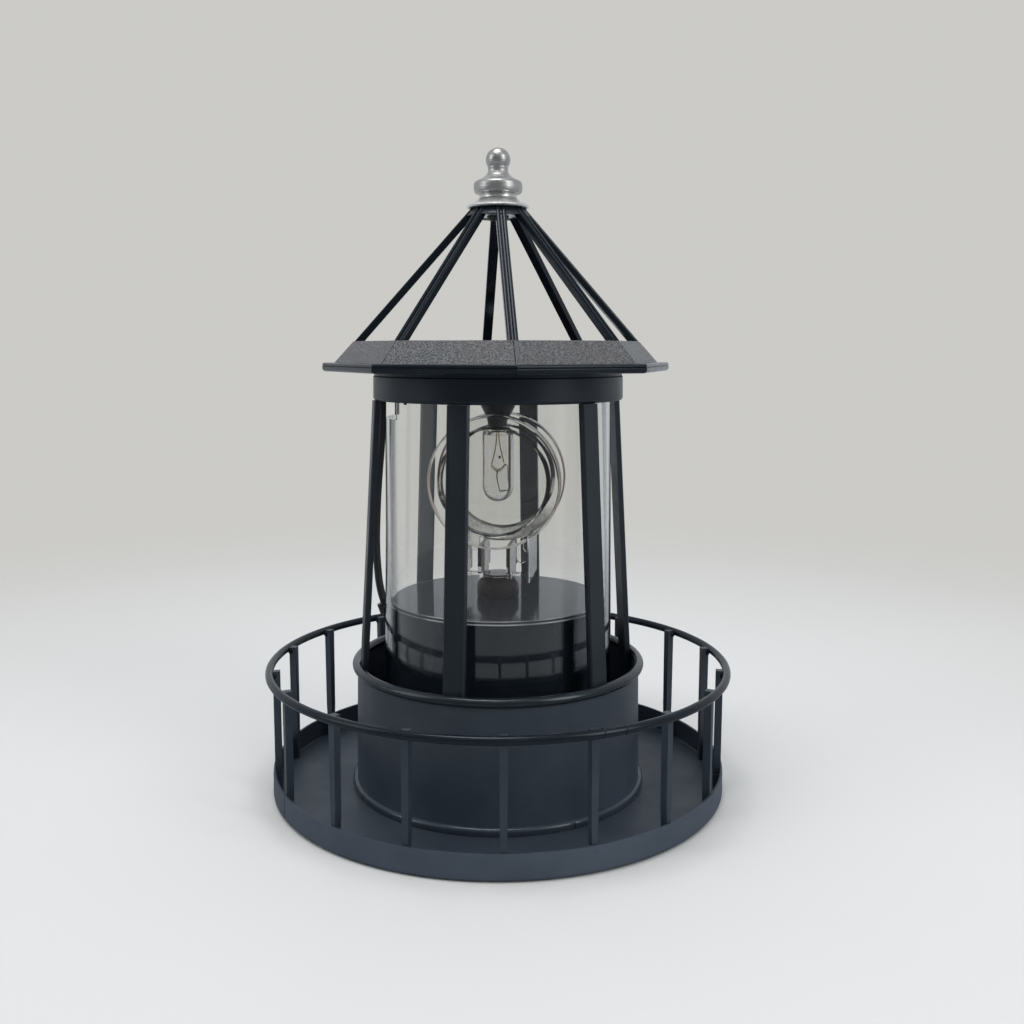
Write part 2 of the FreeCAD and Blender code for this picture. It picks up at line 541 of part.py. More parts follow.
# ---------------------------------------------------------------- drive train
cd = GEAR_MODULE * (PINION_TEETH + WHEEL_TEETH) / 2.0
IX, IY = cd * cos(radians(IDLER_DIR)), cd * sin(radians(IDLER_DIR))
MX, MY = IX + cd * cos(radians(MOTOR_DIR)), IY + cd * sin(radians(MOTOR_DIR))
GP0, GP1 = 44.0, 46.0
plate = cyl(26.0, GP0, GP1)
for a in (200, 290, 105):
    x, y = 23.0 * cos(radians(a)), 23.0 * sin(radians(a))
    plate = plate.fuse(cyl(2.0, GP1, HOUSING_TOP_Z - 1.8, x, y))
plate = plate.removeSplitter()
plate = plate.cut(cyl(2.05, GP0 - 1, GP1 + 1)).cut(cyl(1.05, GP0 - 1, GP1 + 1, MX, MY)).cut(cyl(1.0, GP0 - 1, GP1 + 1, IX, IY))
parts["gear_plate"] = plate
parts["idler_pin"] = cyl(1.0, GP0, HOUSING_TOP_Z - 1.8, IX, IY)

out_dir = IDLER_DIR
wheel = gear(WHEEL_TEETH, 51.0, 53.6, 0, 0, out_dir)
shaft = cyl(2.0, 44.3, 64.0)
parts["output_gear"] = wheel.fuse(cyl(4.0, 50.2, 55.0)).fuse(shaft).removeSplitter()
# idler: wheel below meshes with the motor pinion, pinion above meshes with the output wheel
iw = gear(WHEEL_TEETH, 47.6, 49.6, IX, IY, MOTOR_DIR)
ip = gear(PINION_TEETH, 49.6, 54.4, IX, IY, IDLER_DIR + 180 + 180.0 / PINION_TEETH)
idl = iw.fuse(ip).fuse(cyl(2.2, 46.3, 47.6, IX, IY)).removeSplitter().cut(cyl(1.05, 40, 60, IX, IY))
parts["idler_gear"] = idl
mp = gear(PINION_TEETH, 47.2, 50.2, MX, MY, MOTOR_DIR + 180 + 180.0 / PINION_TEETH)
parts["motor_pinion"] = mp.fuse(cyl(1.0, 36.0, 50.8, MX, MY)).removeSplitter()
mot = cyl(10.0, 24.5, GP0, MX, MY).common(box(MX - 7.7, MX + 7.7, MY - 12, MY + 12, 20, 50))
mot = mot.fuse(cyl(3.0, 23.3, 24.5, MX, MY)).removeSplitter().cut(cyl(1.05, 35.5, GP0 + 1, MX, MY))
parts["motor"] = mot

hub = revolve([(0, 59.7), (HUB_R - 0.5, 59.7), (HUB_R - 0.15, 59.85), (HUB_R, 60.2), (HUB_R, 63.6), (HUB_R - 0.15, 64.0),
               (HUB_R - 1.9, 66.15), (HUB_R - 2.3, 66.4), (0, 66.4)])
parts["rotor_hub"] = hub.cut(cyl(2.0, 50, 64.0))

# ---------------------------------------------------------------- turning optic (clear moulding)
Y0, Y1 = 7.0, 11.6


def disc(r, y0, y1, z=LENS_Z):
    return Part.makeCylinder(r, y1 - y0, V(0, y0, z), V(0, 1, 0))


def lens_ring(sign):
    """Clear ring with rounded rims; sign is the side of the axis that it faces."""
    q = [(LENS_R, Y0), (LENS_RING_R - 0.5, Y0)] + arc_pts(LENS_RING_R - 0.5, Y0 + 0.5, 0.5, -90, 0, 4)[1:]
    q += arc_pts(LENS_RING_R - 1.1, Y1 - 1.1, 1.1, 0, 90, 7) + arc_pts(LENS_R + 0.6, Y1 - 0.6, 0.6, 90, 180, 5)
    s = revolve(q)
    s.rotate(V(0, 0, 0), V(1, 0, 0), -90 if sign > 0 else 90)
    s.translate(V(0, 0, LENS_Z))
    return s


car = lens_ring(-1).fuse(lens_ring(1))
void = disc(LENS_R, -20, 20)
for sx in (-1, 1):
    x0, x1 = sorted((sx * 10.5, sx * 11.7))
    car = car.fuse(box(x0, x1, -Y1, Y1, 66.4, 80.6).cut(void))
    x0, x1 = sorted((sx * 4.0, sx * 5.2))
    car = car.fuse(box(x0, x1, -6.2, 6.2, 66.4, 77.4).fuse(box(x0, x1, -9.8, 9.8, 68.6, 77.4)).removeSplitter().cut(void))
    for y0, y1 in ((-Y1 + 0.8, -Y0 - 1.6), (Y0 + 1.6, Y1 - 0.8)):
        tab = box(min(sx * 7.4, sx * 10.6), max(sx * 7.4, sx * 10.6), y0, y1, 74.0, 80.0).fuse(
            Part.makeCylinder(1.6, y1 - y0, V(sx * 9.0, y0, 74.0), V(0, 1, 0)))
        car = car.fuse(tab.cut(void))
car = car.fuse(box(-11.7, 11.7, -1.6, 1.6, 66.4, 67.1)).fuse(cyl(5.2, 66.4, 67.1))
car = car.removeSplitter()
turn = OPTIC_BEARING
parts["lens_carrier"] = place(car, turn)
parts["front_lens"] = place(disc(LENS_R, -10.2, -9.0), turn)
parts["rear_lens"] = place(disc(LENS_R, 9.0, 10.2), turn)

# ---------------------------------------------------------------- export
for name, shape in parts.items():
    bad = [s for s in shape.Solids if not s.isValid()]
    if not shape.Solids or bad:
        print("CHECK", name, "solids", len(shape.Solids), "invalid", len(bad))
    shape.exportStep("parts/%s.step" % name)
print("nodes:", len(parts))
bb = Part.makeCompound(list(parts.values())).BoundBox
print("box x %.2f..%.2f y %.2f..%.2f z %.2f..%.2f" % (bb.XMin, bb.XMax, bb.YMin, bb.YMax, bb.ZMin, bb.ZMax))
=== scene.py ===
import bpy
import math
import random
from math import sin, cos, pi, radians
from mathutils import Matrix, Vector


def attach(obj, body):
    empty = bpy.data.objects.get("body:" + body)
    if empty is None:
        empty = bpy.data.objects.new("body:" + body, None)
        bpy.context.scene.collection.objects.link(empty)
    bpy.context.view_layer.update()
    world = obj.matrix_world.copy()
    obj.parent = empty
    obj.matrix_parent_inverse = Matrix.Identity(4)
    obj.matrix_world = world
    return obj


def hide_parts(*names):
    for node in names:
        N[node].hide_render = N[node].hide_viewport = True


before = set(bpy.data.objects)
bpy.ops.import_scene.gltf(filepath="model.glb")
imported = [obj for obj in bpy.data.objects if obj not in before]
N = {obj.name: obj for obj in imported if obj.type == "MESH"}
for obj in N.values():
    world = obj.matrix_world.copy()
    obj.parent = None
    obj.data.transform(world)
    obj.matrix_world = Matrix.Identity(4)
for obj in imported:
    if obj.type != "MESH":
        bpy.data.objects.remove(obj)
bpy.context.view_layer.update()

scene = bpy.context.scene
MM = 0.001

# ------------------------------------------------------------------ camera
cam_data = bpy.data.cameras.new("camera")
cam = bpy.data.objects.new("camera", cam_data)
scene.collection.objects.link(cam)
cam_data.sensor_width = 36.0
cam_data.lens = 1091.12 / 1024.0 * 36.0
cam.location = (0.000165, -0.35943, 0.1406)
cam.rotation_euler = (radians(90), 0.0, -0.0020)
cam_data.shift_x = 0.0110
cam_data.shift_y = -0.1593
cam_data.clip_start = 0.01
cam_data.clip_end = 20.0
scene.camera = cam

scene.view_settings.view_transform = "Standard"
scene.view_settings.look = "None"

# ------------------------------------------------------------------ light
ENV_BRIGHT = 0.64
ENV_SIDE = 0.44
ENV_DARK = 0.15
BACKDROP = (0.600, 0.595, 0.572, 1)
world = bpy.data.worlds.new("studio")
scene.world = world
world.use_nodes = True
wn = world.node_tree
wn.nodes["Background"].inputs[0].default_value = (0.935, 0.975, 1.02, 1)


def wnode(kind, **props):
    n = wn.nodes.new(kind)
    for k, v in props.items():
        setattr(n, k, v)
    return n


def wrange(value, a, b, lo, hi):
    n = wnode("ShaderNodeMapRange", interpolation_type="SMOOTHSTEP")
    wn.links.new(value, n.inputs["Value"])
    for k, v in (("From Min", a), ("From Max", b), ("To Min", lo), ("To Max", hi)):
        n.inputs[k].default_value = v
    return n.outputs["Result"]


def wmul(a, b):
    n = wnode("ShaderNodeMath", operation="MULTIPLY")
    wn.links.new(a, n.inputs[0])
    wn.links.new(b, n.inputs[1])
    return n.outputs[0]


# soft pale surround, darker in front of the object
wdir = wnode("ShaderNodeSeparateXYZ")
wn.links.new(wnode("ShaderNodeTexCoord").outputs["Generated"], wdir.inputs[0])
ahead = wrange(wdir.outputs["Y"], -0.16, -0.80, 0.0, 1.0)
low = wmul(wrange(wdir.outputs["Z"], 0.30, 0.72, 1.0, 0.0), wrange(wdir.outputs["Z"], -0.34, -0.12, 0.0, 1.0))
shade = wmul(ahead, low)
sides = wrange(wdir.outputs["Y"], 0.55, 0.0, ENV_BRIGHT, ENV_SIDE)
fall = wrange(shade, 0.0, 1.0, 1.0, ENV_DARK / ENV_SIDE)
wn.links.new(wmul(sides, fall), wn.nodes["Background"].inputs[1])
back = wnode("ShaderNodeBackground")
back.inputs[0].default_value = BACKDROP
back.inputs[1].default_value = 1.0
mixer = wnode("ShaderNodeMixShader")
path = wnode("ShaderNodeLightPath")
bounces = wnode("ShaderNodeMath", operation="ADD")
wn.links.new(path.outputs["Glossy Depth"], bounces.inputs[0])
wn.links.new(path.outputs["Diffuse Depth"], bounces.inputs[1])
straight = wnode("ShaderNodeMath", operation="LESS_THAN")
straight.inputs[1].default_value = 0.5
wn.links.new(bounces.outputs[0], straight.inputs[0])
through = wmul(path.outputs["Is Transmission Ray"], straight.outputs[0])
seen = wnode("ShaderNodeMath", operation="MAXIMUM")
wn.links.new(path.outputs["Is Camera Ray"], seen.inputs[0])
wn.links.new(through, seen.inputs[1])
wn.links.new(seen.outputs[0], mixer.inputs[0])
wn.links.new(wn.nodes["Background"].outputs[0], mixer.inputs[1])
wn.links.new(back.outputs[0], mixer.inputs[2])
wn.links.new(mixer.outputs[0], wn.nodes["World Output"].inputs["Surface"])


def area_light(name, loc, target, size_x, size_y, power, colour=(1, 1, 1)):
    d = bpy.data.lights.new(name, "AREA")
    d.shape = "RECTANGLE"
    d.size, d.size_y = size_x, size_y
    d.energy = power
    d.color = colour
    o = bpy.data.objects.new(name, d)
    scene.collection.objects.link(o)
    o.location = loc
    o.rotation_mode = "QUATERNION"
    o.rotation_quaternion = (Vector(target) - Vector(loc)).to_track_quat("-Z", "Y")
    # its light already reaches what stands behind the clear pieces
    o.visible_transmission = False
    return o


area_light("softbox_top", (-0.10, -0.12, 1.10), (0, 0, 0.10), 0.5, 0.5, 4.6)
area_light("softbox_left", (-0.95, -0.30, 0.55), (0, 0, 0.10), 0.5, 0.8, 2.0)
area_light("softbox_right", (0.76, -0.58, 0.52), (0, 0, 0.08), 0.4, 0.8, 3.6)


# ------------------------------------------------------------------ node helpers
class Mat:
    """A node material: one Principled shader and small helpers to feed it."""

    def __init__(self, name, **sockets):
        self.m = bpy.data.materials.new(name)
        self.m.use_nodes = True
        self.t = self.m.node_tree
        self.p = self.t.nodes["Principled BSDF"]
        for k, v in sockets.items():
            self.set(k.replace("_", " "), v)
        self.coord = self.t.nodes.new("ShaderNodeTexCoord")

    def set(self, name, value):
        self.p.inputs[name].default_value = value

    def node(self, kind, **props):
        n = self.t.nodes.new(kind)
        for k, v in props.items():
            setattr(n, k, v)
        return n

    def link(self, a, b):
        self.t.links.new(a, b)

    def noise(self, scale, detail=3.0, rough=0.55, vector=None, distortion=0.0):
        n = self.node("ShaderNodeTexNoise")
        n.inputs["Scale"].default_value = scale
        n.inputs["Detail"].default_value = detail
        n.inputs["Roughness"].default_value = rough
        n.inputs["Distortion"].default_value = distortion
        self.link(vector or self.coord.outputs["Object"], n.inputs["Vector"])
        return n.outputs["Fac"]

    def voronoi(self, scale, vector=None, feature="F1", randomness=1.0):
        n = self.node("ShaderNodeTexVoronoi", feature=feature)
        n.inputs["Scale"].default_value = scale
        n.inputs["Randomness"].default_value = randomness
        self.link(vector or self.coord.outputs["Object"], n.inputs["Vector"])
        return n.outputs["Distance"]

    def mapping(self, scale=(1, 1, 1), loc=(0, 0, 0), rot=(0, 0, 0)):
        n = self.node("ShaderNodeMapping")
        n.inputs["Scale"].default_value = scale
        n.inputs["Location"].default_value = loc
        n.inputs["Rotation"].default_value = rot
        self.link(self.coord.outputs["Object"], n.inputs["Vector"])
        return n.outputs["Vector"]

    def remap(self, fac, a, b, lo, hi, smooth=False):
        n = self.node("ShaderNodeMapRange")
        if smooth:
            n.interpolation_type = "SMOOTHSTEP"
        self.link(fac, n.inputs["Value"])
        n.inputs["From Min"].default_value = a
        n.inputs["From Max"].default_value = b
        n.inputs["To Min"].default_value = lo
        n.inputs["To Max"].default_value = hi
        return n.outputs["Result"]

    def mix(self, fac, c1, c2, blend="MIX"):
        n = self.node("ShaderNodeMix", data_type="RGBA", blend_type=blend)
        for sock, v in ((n.inputs[0], fac), (n.inputs[6], c1), (n.inputs[7], c2)):
            if isinstance(v, (int, float)):
                sock.default_value = v
            elif isinstance(v, (tuple, list)):
                sock.default_value = tuple(v) + (1,) * (4 - len(v))
            else:
                self.link(v, sock)
        return n.outputs[2]

    def math(self, op, a, b=0.0, c=0.0, clamp=False):
        n = self.node("ShaderNodeMath", operation=op)
        n.use_clamp = clamp
        for i, v in enumerate((a, b, c)):
            if isinstance(v, (int, float)):
                n.inputs[i].default_value = v
            else:
                self.link(v, n.inputs[i])
        return n.outputs[0]

    def xyz(self):
        n = self.node("ShaderNodeSeparateXYZ")
        self.link(self.coord.outputs["Object"], n.inputs[0])
        return n.outputs

    def bump(self, height, strength, distance, previous=None):
        n = self.node("ShaderNodeBump")
        n.inputs["Strength"].default_value = strength
        n.inputs["Distance"].default_value = distance
        self.link(height, n.inputs["Height"])
        if previous is not None:
            self.link(previous, n.inputs["Normal"])
        return n.outputs["Normal"]

    def colour(self, out):
        self.link(out, self.p.inputs["Base Color"])

    def rough(self, out):
        self.link(out, self.p.inputs["Roughness"])

    def normal(self, out):
        self.link(out, self.p.inputs["Normal"])


def paint(name, dark, light, r0, r1, peel=0.10, spec=0.5, foot=None, outside=None, bead=None):
    """Semi-gloss powder coat: slight tone drift, orange peel, fine dust specks.

    foot lightens it towards the bottom and outside lightens it beyond a radius, both painted light standing in for
    bounced and front light; above the height bead it is darker and glossier."""
    m = Mat(name, Specular_IOR_Level=spec, Specular_Tint=(0.84, 0.94, 1.0, 1))
    drift = m.noise(38.0, 4.0, 0.6)
    fine = m.noise(900.0, 2.0, 0.5)
    tone = m.remap(drift, 0.35, 0.68, 0.0, 1.0, True)
    tone = m.math("ADD", m.math("MULTIPLY", tone, 0.75), m.math("MULTIPLY", fine, 0.25))
    base = m.mix(tone, dark, light)
    if foot is not None:
        z0, z1, gain = foot
        # painted light: a lighter copy towards the bottom, standing in for light bounced up from the tray floor
        painted_fill_tone = m.mix(tone, [v * gain for v in dark], [v * gain for v in light])
        base = m.mix(m.remap(m.xyz()[2], z1, z0, 0.0, 1.0, True), base, painted_fill_tone)
    if outside is not None:
        r_in, gain = outside
        o = m.xyz()
        far = m.math("SQRT", m.math("ADD", m.math("MULTIPLY", o[0], o[0]), m.math("MULTIPLY", o[1], o[1])))
        # painted light: a lighter copy on the outer face of the tray wall, standing in for front light falling on it
        painted_lit_outside = m.mix(tone, [v * gain for v in dark], [v * gain for v in light])
        base = m.mix(m.remap(far, r_in, r_in + 0.0002, 0.0, 1.0), base, painted_lit_outside)
    specks = m.remap(m.voronoi(260.0), 0.0, 0.055, 1.0, 0.0, True)
    keep = m.remap(m.noise(120.0, 1.0), 0.60, 0.64, 0.0, 0.35, True)
    base = m.mix(m.math("MULTIPLY", specks, keep), base, (0.20, 0.20, 0.20))
    rough = m.remap(m.noise(55.0, 3.0, 0.6), 0.3, 0.7, r0, r1)
    if bead is not None:
        top = m.remap(m.xyz()[2], bead - 0.0002, bead + 0.0002, 0.0, 1.0, True)
        base = m.mix(top, base, m.mix(tone, (0.0085, 0.0120, 0.0165), (0.0130, 0.0175, 0.0230)))
        rough = m.math("MULTIPLY", rough, m.remap(top, 0.0, 1.0, 1.0, 0.55))
    m.colour(base)
    m.rough(rough)
    peel_h = m.noise(1150.0, 2.0, 0.45)
    wave_h = m.noise(210.0, 1.0, 0.4)
    n1 = m.bump(peel_h, peel, 0.00012)
    m.normal(m.bump(wave_h, peel * 0.7, 0.0003, n1))
    return m.m


M = {}
# one black powder coat in several copies: the bars, tray, drum and foot-ring copies are about three times lighter than
# the posts' copy, painted light standing in for bounce and front light on the lower parts
M["paint"] = paint("black_paint", (0.0080, 0.0120, 0.0180), (0.0126, 0.0175, 0.0245), 0.34, 0.48)
M["paint_collar"] = paint("black_paint_collar", (0.0085, 0.0125, 0.0185), (0.0130, 0.0180, 0.0250), 0.32, 0.46, spec=0.32)
M["paint_bars"] = paint("black_paint_bars", (0.0240, 0.0330, 0.0460), (0.0370, 0.0480, 0.0640), 0.30, 0.44)
M["paint_floor"] = paint("black_paint_flat", (0.0290, 0.0375, 0.0520), (0.0400, 0.0500, 0.0670), 0.40, 0.56, outside=(0.0720, 1.65))
M["paint_drum"] = paint("black_paint_drum", (0.0270, 0.0355, 0.0490), (0.0390, 0.0490, 0.0650), 0.32, 0.46, foot=(0.005, 0.026, 1.55), bead=0.0374)
M["paint_foot"] = paint("black_paint_foot", (0.0300, 0.0400, 0.0540), (0.0420, 0.0540, 0.0720), 0.20, 0.32)
M["paint_ring"] = paint("black_paint_rail", (0.0075, 0.0110, 0.0160), (0.0125, 0.0170, 0.0235), 0.13, 0.24, 0.10, 0.23)

# pebbled sheet of the roof band
m = Mat("pebbled_paint", Specular_IOR_Level=0.5)
grain = m.noise(1500.0, 3.0, 0.6)
cells = m.voronoi(1700.0)
h = m.math("ADD", m.math("MULTIPLY", grain, 0.7), m.math("MULTIPLY", cells, 0.5))
tone = m.remap(h, 0.38, 0.78, 0.0, 1.0)
warm = m.remap(m.noise(30.0, 2.0), 0.35, 0.65, 0.0, 1.0, True)
c_lo = m.mix(warm, (0.021, 0.024, 0.028), (0.026, 0.025, 0.028))
c_hi = m.mix(warm, (0.150, 0.158, 0.170), (0.170, 0.165, 0.172))
m.colour(m.mix(tone, c_lo, c_hi))
m.rough(m.remap(grain, 0.3, 0.7, 0.30, 0.52))
m.normal(m.bump(h, 0.9, 0.00040))
M["pebbled"] = m.m

# turned, bright silver finish of the finial
m = Mat("silver_finish", Metallic=1.0)
spin = m.noise(260.0, 3.0, 0.6, m.mapping(scale=(0.12, 0.12, 7.0)))
spots = m.noise(420.0, 2.0)
c = m.mix(m.remap(spots, 0.3, 0.7, 0, 1), (0.37, 0.368, 0.362), (0.50, 0.496, 0.485))
# painted light: below 191.5 mm the finial turns much lighter, standing in for the brighter-lit base flange
m.colour(m.mix(m.remap(m.xyz()[2], 0.1915, 0.1900, 0.0, 1.0, True), c, (0.76, 0.755, 0.74)))
m.rough(m.remap(m.noise(160.0, 2.0), 0.3, 0.7, 0.30, 0.44))
m.normal(m.bump(spin, 0.10, 0.00008))
M["silver"] = m.m

m = Mat("steel_satin", Metallic=1.0)
m.colour(m.mix(m.noise(500.0, 3.0), (0.42, 0.43, 0.44), (0.62, 0.62, 0.63)))
m.rough(m.remap(m.noise(700.0, 2.0), 0.3, 0.7, 0.25, 0.42))
M["steel"] = m.m

m = Mat("steel_blackened", Metallic=1.0)
m.colour(m.mix(m.noise(500.0, 3.0), (0.045, 0.045, 0.048), (0.11, 0.11, 0.115)))
m.rough(m.remap(m.noise(700.0, 2.0), 0.3, 0.7, 0.35, 0.5))
M["dark_steel"] = m.m


def clear(name, tint, rim, ior, r0, r1, ripple, ripple_scale=(260.0, 260.0, 14.0), strength=0.05, blend=0.35, frost=None,
          edge=(0.35, 1.0), spec=0.5, lines=None):
    """Clear moulded plastic or glass: deeper tone where the wall is seen edge-on, faint flow ripples and haze."""
    m = Mat(name, Transmission_Weight=1.0, IOR=ior, Specular_IOR_Level=spec)
    lw = m.node("ShaderNodeLayerWeight")
    lw.inputs["Blend"].default_value = blend
    tone = m.mix(m.remap(lw.outputs["Facing"], edge[0], edge[1], 0.0, 1.0, True), tint, rim)
    m.colour(lines(m, tone) if lines is not None else tone)
    flow = m.noise(1.0, 2.0, 0.5, m.mapping(scale=ripple_scale))
    if r1 > 0.0:
        r = m.remap(m.noise(45.0, 3.0), 0.35, 0.75, r0, r1)
        if frost is not None:
            r = m.math("MAXIMUM", r, frost(m))
        m.rough(r)
    else:
        m.set("Roughness", 0.0)
    m.normal(m.bump(flow, strength, ripple))
    return m.m


def lens_axes(m):
    """Sideways and fore-aft position in the optic's own frame, height, and radius round the lens axis."""
    o = m.xyz()
    a = radians(-8.0)
    side = m.math("ADD", m.math("MULTIPLY", o[0], cos(a)), m.math("MULTIPLY", o[1], sin(a)))
    fore = m.math("ADD", m.math("MULTIPLY", o[0], -sin(a)), m.math("MULTIPLY", o[1], cos(a)))
    dz = m.math("SUBTRACT", o[2], 0.098)
    r = m.math("SQRT", m.math("ADD", m.math("MULTIPLY", side, side), m.math("MULTIPLY", dz, dz)))
    return side, fore, dz, r


def ground_zone(m, ax):
    """1 on the lower inside face of the rear ring."""
    side, fore, dz, r = ax
    near = m.remap(fore, 0.0064, 0.0069, 0.0, 1.0)
    far = m.remap(fore, 0.0084, 0.0078, 0.0, 1.0)
    low = m.remap(dz, -0.0070, -0.0125, 0.0, 1.0, True)
    inside = m.remap(r, 0.0216, 0.0208, 0.0, 1.0, True)
    return m.math("MULTIPLY", m.math("MULTIPLY", near, far), m.math("MULTIPLY", low, inside))


def lens_frost(m):
    return m.math("MULTIPLY", ground_zone(m, lens_axes(m)), 0.55)


def lens_lines(m, tone):
    """Painted shade in the clear optic: dark lines at the lens seats, a darker upper outer rim and dark inner and outer
    stem walls; besides these a warm outer rim and a ground grey face.
    """
    ax = lens_axes(m)
    side, fore, dz, r = ax
    flank = m.remap(m.math("ABSOLUTE", dz), 0.0150, 0.0050, 0.0, 1.0, True)
    upper = m.remap(dz, 0.0100, 0.0150, 0.0, 1.0, True)
    width = m.math("ADD", m.math("MULTIPLY", flank, 0.00085), m.math("MULTIPLY", upper, 0.00035))
    outer = m.math("ADD", width, 0.01745)
    fall = m.math("MULTIPLY", m.math("SUBTRACT", outer, r), 4500.0, clamp=True)
    # painted shade: a dark line along each lens seat, standing in for the dark ring edge seen through the clear plastic
    seat = m.math("MULTIPLY", m.remap(r, 0.01670, 0.01688, 0.0, 1.0, True), fall)
    wob = m.remap(m.noise(150.0, 2.0), 0.30, 0.55, 0.45, 1.0, True)
    rim = m.remap(r, 0.02080, 0.02115, 0.0, 1.0, True)
    warm = m.remap(m.math("ABSOLUTE", dz), 0.0150, 0.0070, 0.12, 1.0, True)
    tone = m.mix(m.math("MULTIPLY", rim, warm), tone, (0.20, 0.115, 0.095))
    # painted shade: the upper part of the outer rim is darker
    edge = m.math("MULTIPLY", rim, m.remap(dz, 0.006, 0.014, 0.0, 0.8, True))
    tone = m.mix(edge, tone, (0.10, 0.11, 0.12))
    haze = m.mix(m.remap(m.noise(520.0, 3.0, 0.7), 0.32, 0.62, 0.0, 1.0), (0.13, 0.13, 0.128), (0.62, 0.62, 0.60))
    tone = m.mix(ground_zone(m, ax), tone, haze)
    tone = m.mix(m.math("MULTIPLY", seat, wob), tone, (0.0015, 0.0018, 0.0025))
    # painted shade: the stem's inner walls are darkened at their rear ends only
    wall = m.math("MULTIPLY", m.remap(m.math("ABSOLUTE", side), 0.00385, 0.00395, 0.0, 1.0),
                  m.remap(m.math("ABSOLUTE", side), 0.00535, 0.00525, 0.0, 1.0))
    wall = m.math("MULTIPLY", wall, m.remap(dz, -0.0200, -0.0212, 0.0, 1.0))
    wall = m.math("MULTIPLY", wall, m.remap(fore, 0.0086, 0.0088, 0.0, 1.0))
    tone = m.mix(wall, tone, (0.0010, 0.0012, 0.0018))
    # painted shade: far to the sides, low down and towards the rear the optic is darkened too
    out = m.math("MULTIPLY", m.remap(m.math("ABSOLUTE", side), 0.01110, 0.01130, 0.0, 1.0), m.remap(dz, -0.0215, -0.0250, 0.0, 1.0))
    out = m.math("MULTIPLY", out, m.remap(fore, 0.0098, 0.0104, 0.0, 1.0))
    return m.mix(out, tone, (0.006, 0.007, 0.009))


M["tube"] = clear("clear_tube_plastic", (0.930, 0.932, 0.922, 1), (0.30, 0.33, 0.35, 1), 1.49, 0.0, 0.0, 0.00015,
                  (55.0, 55.0, 5.0), 0.03, spec=0.22)
M["lens"] = clear("clear_lens_plastic", (0.985, 0.984, 0.978, 1), (0.06, 0.05, 0.05, 1), 1.49, 0.0, 0.02, 0.0001,
                  (90.0, 90.0, 90.0), 0.08, 0.30, lens_frost, (0.18, 0.80), 0.35, lens_lines)
M["bulb"] = clear("bulb_glass", (0.985, 0.985, 0.980, 1), (0.74, 0.74, 0.73, 1), 1.47, 0.0, 0.015, 0.00008, (120.0, 120.0, 60.0))

# glossy moulded can
m = Mat("gloss_black_plastic", Specular_IOR_Level=0.42, Specular_Tint=(0.86, 0.95, 1.0, 1))
o = m.xyz()
c = m.mix(m.noise(60.0, 3.0), (0.0065, 0.0100, 0.0140), (0.0100, 0.0140, 0.0185))
far = m.math("SQRT", m.math("ADD", m.math("MULTIPLY", o[0], o[0]), m.math("MULTIPLY", o[1], o[1])))
# painted highlight: two light bands on the edges of the top chamfer stand in for the rim's glints
top_highlight_band = m.math("MULTIPLY", m.remap(far, 0.03415, 0.03428, 0.0, 1.0, True), m.remap(far, 0.03475, 0.03460, 0.0, 1.0, True))
low_highlight_band = m.math("MULTIPLY", m.remap(o[2], 0.05825, 0.05840, 0.0, 1.0, True), m.remap(o[2], 0.05878, 0.05866, 0.0, 1.0, True))
low_highlight_band = m.math("MULTIPLY", low_highlight_band, m.remap(far, 0.0343, 0.0346, 0.0, 1.0))
painted_rim_highlight = m.math("MULTIPLY", m.math("MAXIMUM", m.math("MULTIPLY", top_highlight_band, m.remap(o[2], 0.0586, 0.0590, 0.0, 1.0)), low_highlight_band),
                   m.remap(m.noise(75.0, 2.0), 0.35, 0.6, 0.35, 1.0, True))
m.colour(m.mix(painted_rim_highlight, c, (0.42, 0.43, 0.45)))
m.rough(m.remap(m.noise(75.0, 3.0), 0.3, 0.7, 0.07, 0.13))
m.normal(m.bump(m.noise(70.0, 2.0), 0.05, 0.0005))
M["can"] = m.m


m = Mat("brass_wire", Metallic=1.0)
m.colour(m.mix(m.noise(900.0, 3.0), (0.52, 0.40, 0.17), (0.66, 0.53, 0.26)))
m.rough(m.remap(m.noise(1300.0, 2.0), 0.3, 0.7, 0.28, 0.45))
M["brass"] = m.m


def matte_plastic(name, a, b, r0=0.42, r1=0.6, grain=900.0, strength=0.12):
    m = Mat(name, Specular_IOR_Level=0.4)
    m.colour(m.mix(m.noise(80.0, 3.0), a, b))
    m.rough(m.remap(m.noise(140.0, 2.0), 0.3, 0.7, r0, r1))
    m.normal(m.bump(m.noise(grain, 3.0), strength, 0.0001))
    return m.m


M["matte"] = matte_plastic("matte_black_plastic", (0.012, 0.0125, 0.0135), (0.022, 0.023, 0.025))
M["socket"] = matte_plastic("socket_plastic", (0.005, 0.007, 0.010), (0.011, 0.014, 0.018), 0.22, 0.34)
M["hub"] = matte_plastic("hub_plastic", (0.0085, 0.0045, 0.0045), (0.019, 0.0105, 0.0105), 0.22, 0.34, 300.0, 0.06)
M["rubber"] = matte_plastic("cable_rubber", (0.010, 0.0105, 0.0115), (0.018, 0.019, 0.021), 0.38, 0.55, 1600.0, 0.2)
M["nylon"] = matte_plastic("white_nylon", (0.74, 0.73, 0.68), (0.82, 0.815, 0.77), 0.35, 0.5)

# solar panel backing: dark epoxy board
M["panel"] = matte_plastic("panel_backing", (0.012, 0.013, 0.016), (0.020, 0.022, 0.026), 0.2, 0.32)

